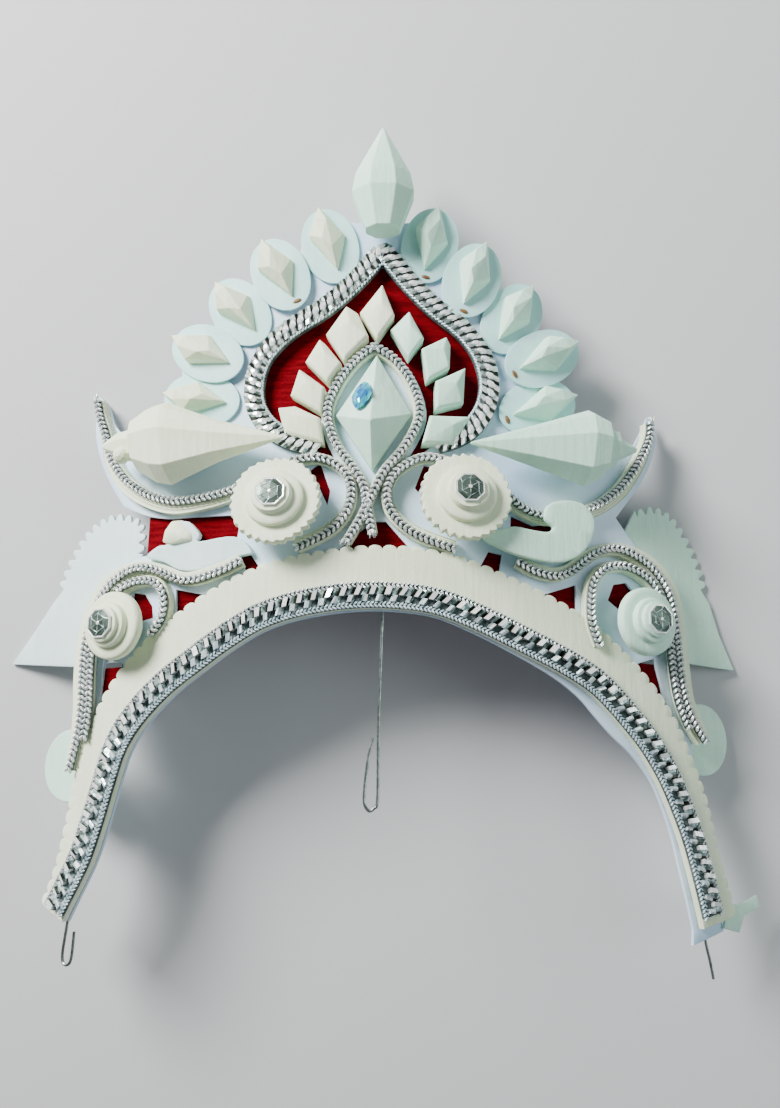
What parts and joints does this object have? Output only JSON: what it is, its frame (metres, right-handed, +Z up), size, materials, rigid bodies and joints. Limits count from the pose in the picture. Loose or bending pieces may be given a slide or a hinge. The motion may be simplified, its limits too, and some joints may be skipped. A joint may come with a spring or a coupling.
{
  "type": "shola wedding crown",
  "caption": "Bridal crown of carved white shola pith on a pierced card front, with red cloth, silver lace and mirrors; an arched opening takes the forehead.",
  "frame": {"origin": "centre of the footprint on the surface the crown lies on, back down", "axes": "+X to the wearer's left ear (right in the picture), +Y towards the finial, +Z up out of the decorated front"},
  "size_m": [0.2608, 0.289, 0.049],
  "materials": {
    "shola": "dry matt carved pith, cream to aqua white",
    "white_card": "coated white card",
    "red_velvet": "deep red velvet cloth",
    "silver_braid": "woven silver metal thread",
    "silver_foil": "crimped bright foil lace",
    "mirror_glass": "small faceted mirror glass",
    "blue_stone": "foil-backed faceted acrylic stone",
    "steel_wire": "thin dull steel wire"
  },
  "bodies": {
    "root": {"base_card": "white_card", "blue_stone": "blue_stone", "chip_left_1": "shola", "chip_left_2": "shola", "chip_left_3": "shola", "chip_left_4": "shola", "chip_right_1": "shola", "chip_right_2": "shola", "chip_right_3": "shola", "chip_right_4": "shola", "chip_top": "shola", "conch_left": "shola", "conch_right": "shola", "curl_left": "shola", "curl_right": "shola", "dome_left": "shola", "dome_mirror_left": "mirror_glass", "dome_mirror_right": "mirror_glass", "dome_right": "shola", "ear_scrap_right": "shola", "finial": "shola", "leaf_braid": "silver_braid", "leaf_diamond": "shola", "leaf_strip": "shola", "petal_left_1": "shola", "petal_left_2": "shola", "petal_left_3": "shola", "petal_left_4": "shola", "petal_left_5": "shola", "petal_right_1": "shola", "petal_right_2": "shola", "petal_right_3": "shola", "petal_right_4": "shola", "petal_right_5": "shola", "red_cloth": "red_velvet", "rim_band": "shola", "rim_trim": "silver_foil", "rosette_left": "shola", "rosette_mirror_left": "mirror_glass", "rosette_mirror_right": "mirror_glass", "rosette_right": "shola", "scroll_braid_left": "silver_braid", "scroll_braid_right": "silver_braid", "scroll_strip_left": "shola", "scroll_strip_right": "shola", "side_braid_inner_left": "silver_braid", "side_braid_inner_right": "silver_braid", "side_braid_outer_left": "silver_braid", "side_braid_outer_right": "silver_braid", "side_disc_left": "shola", "side_disc_right": "shola", "side_strip_left": "shola", "side_strip_right": "shola", "teardrop_trim": "silver_foil", "wing_left": "shola", "wing_right": "shola", "wire_left": "steel_wire", "wire_middle": "steel_wire", "wire_right": "steel_wire"}
  },
  "joints": []
}
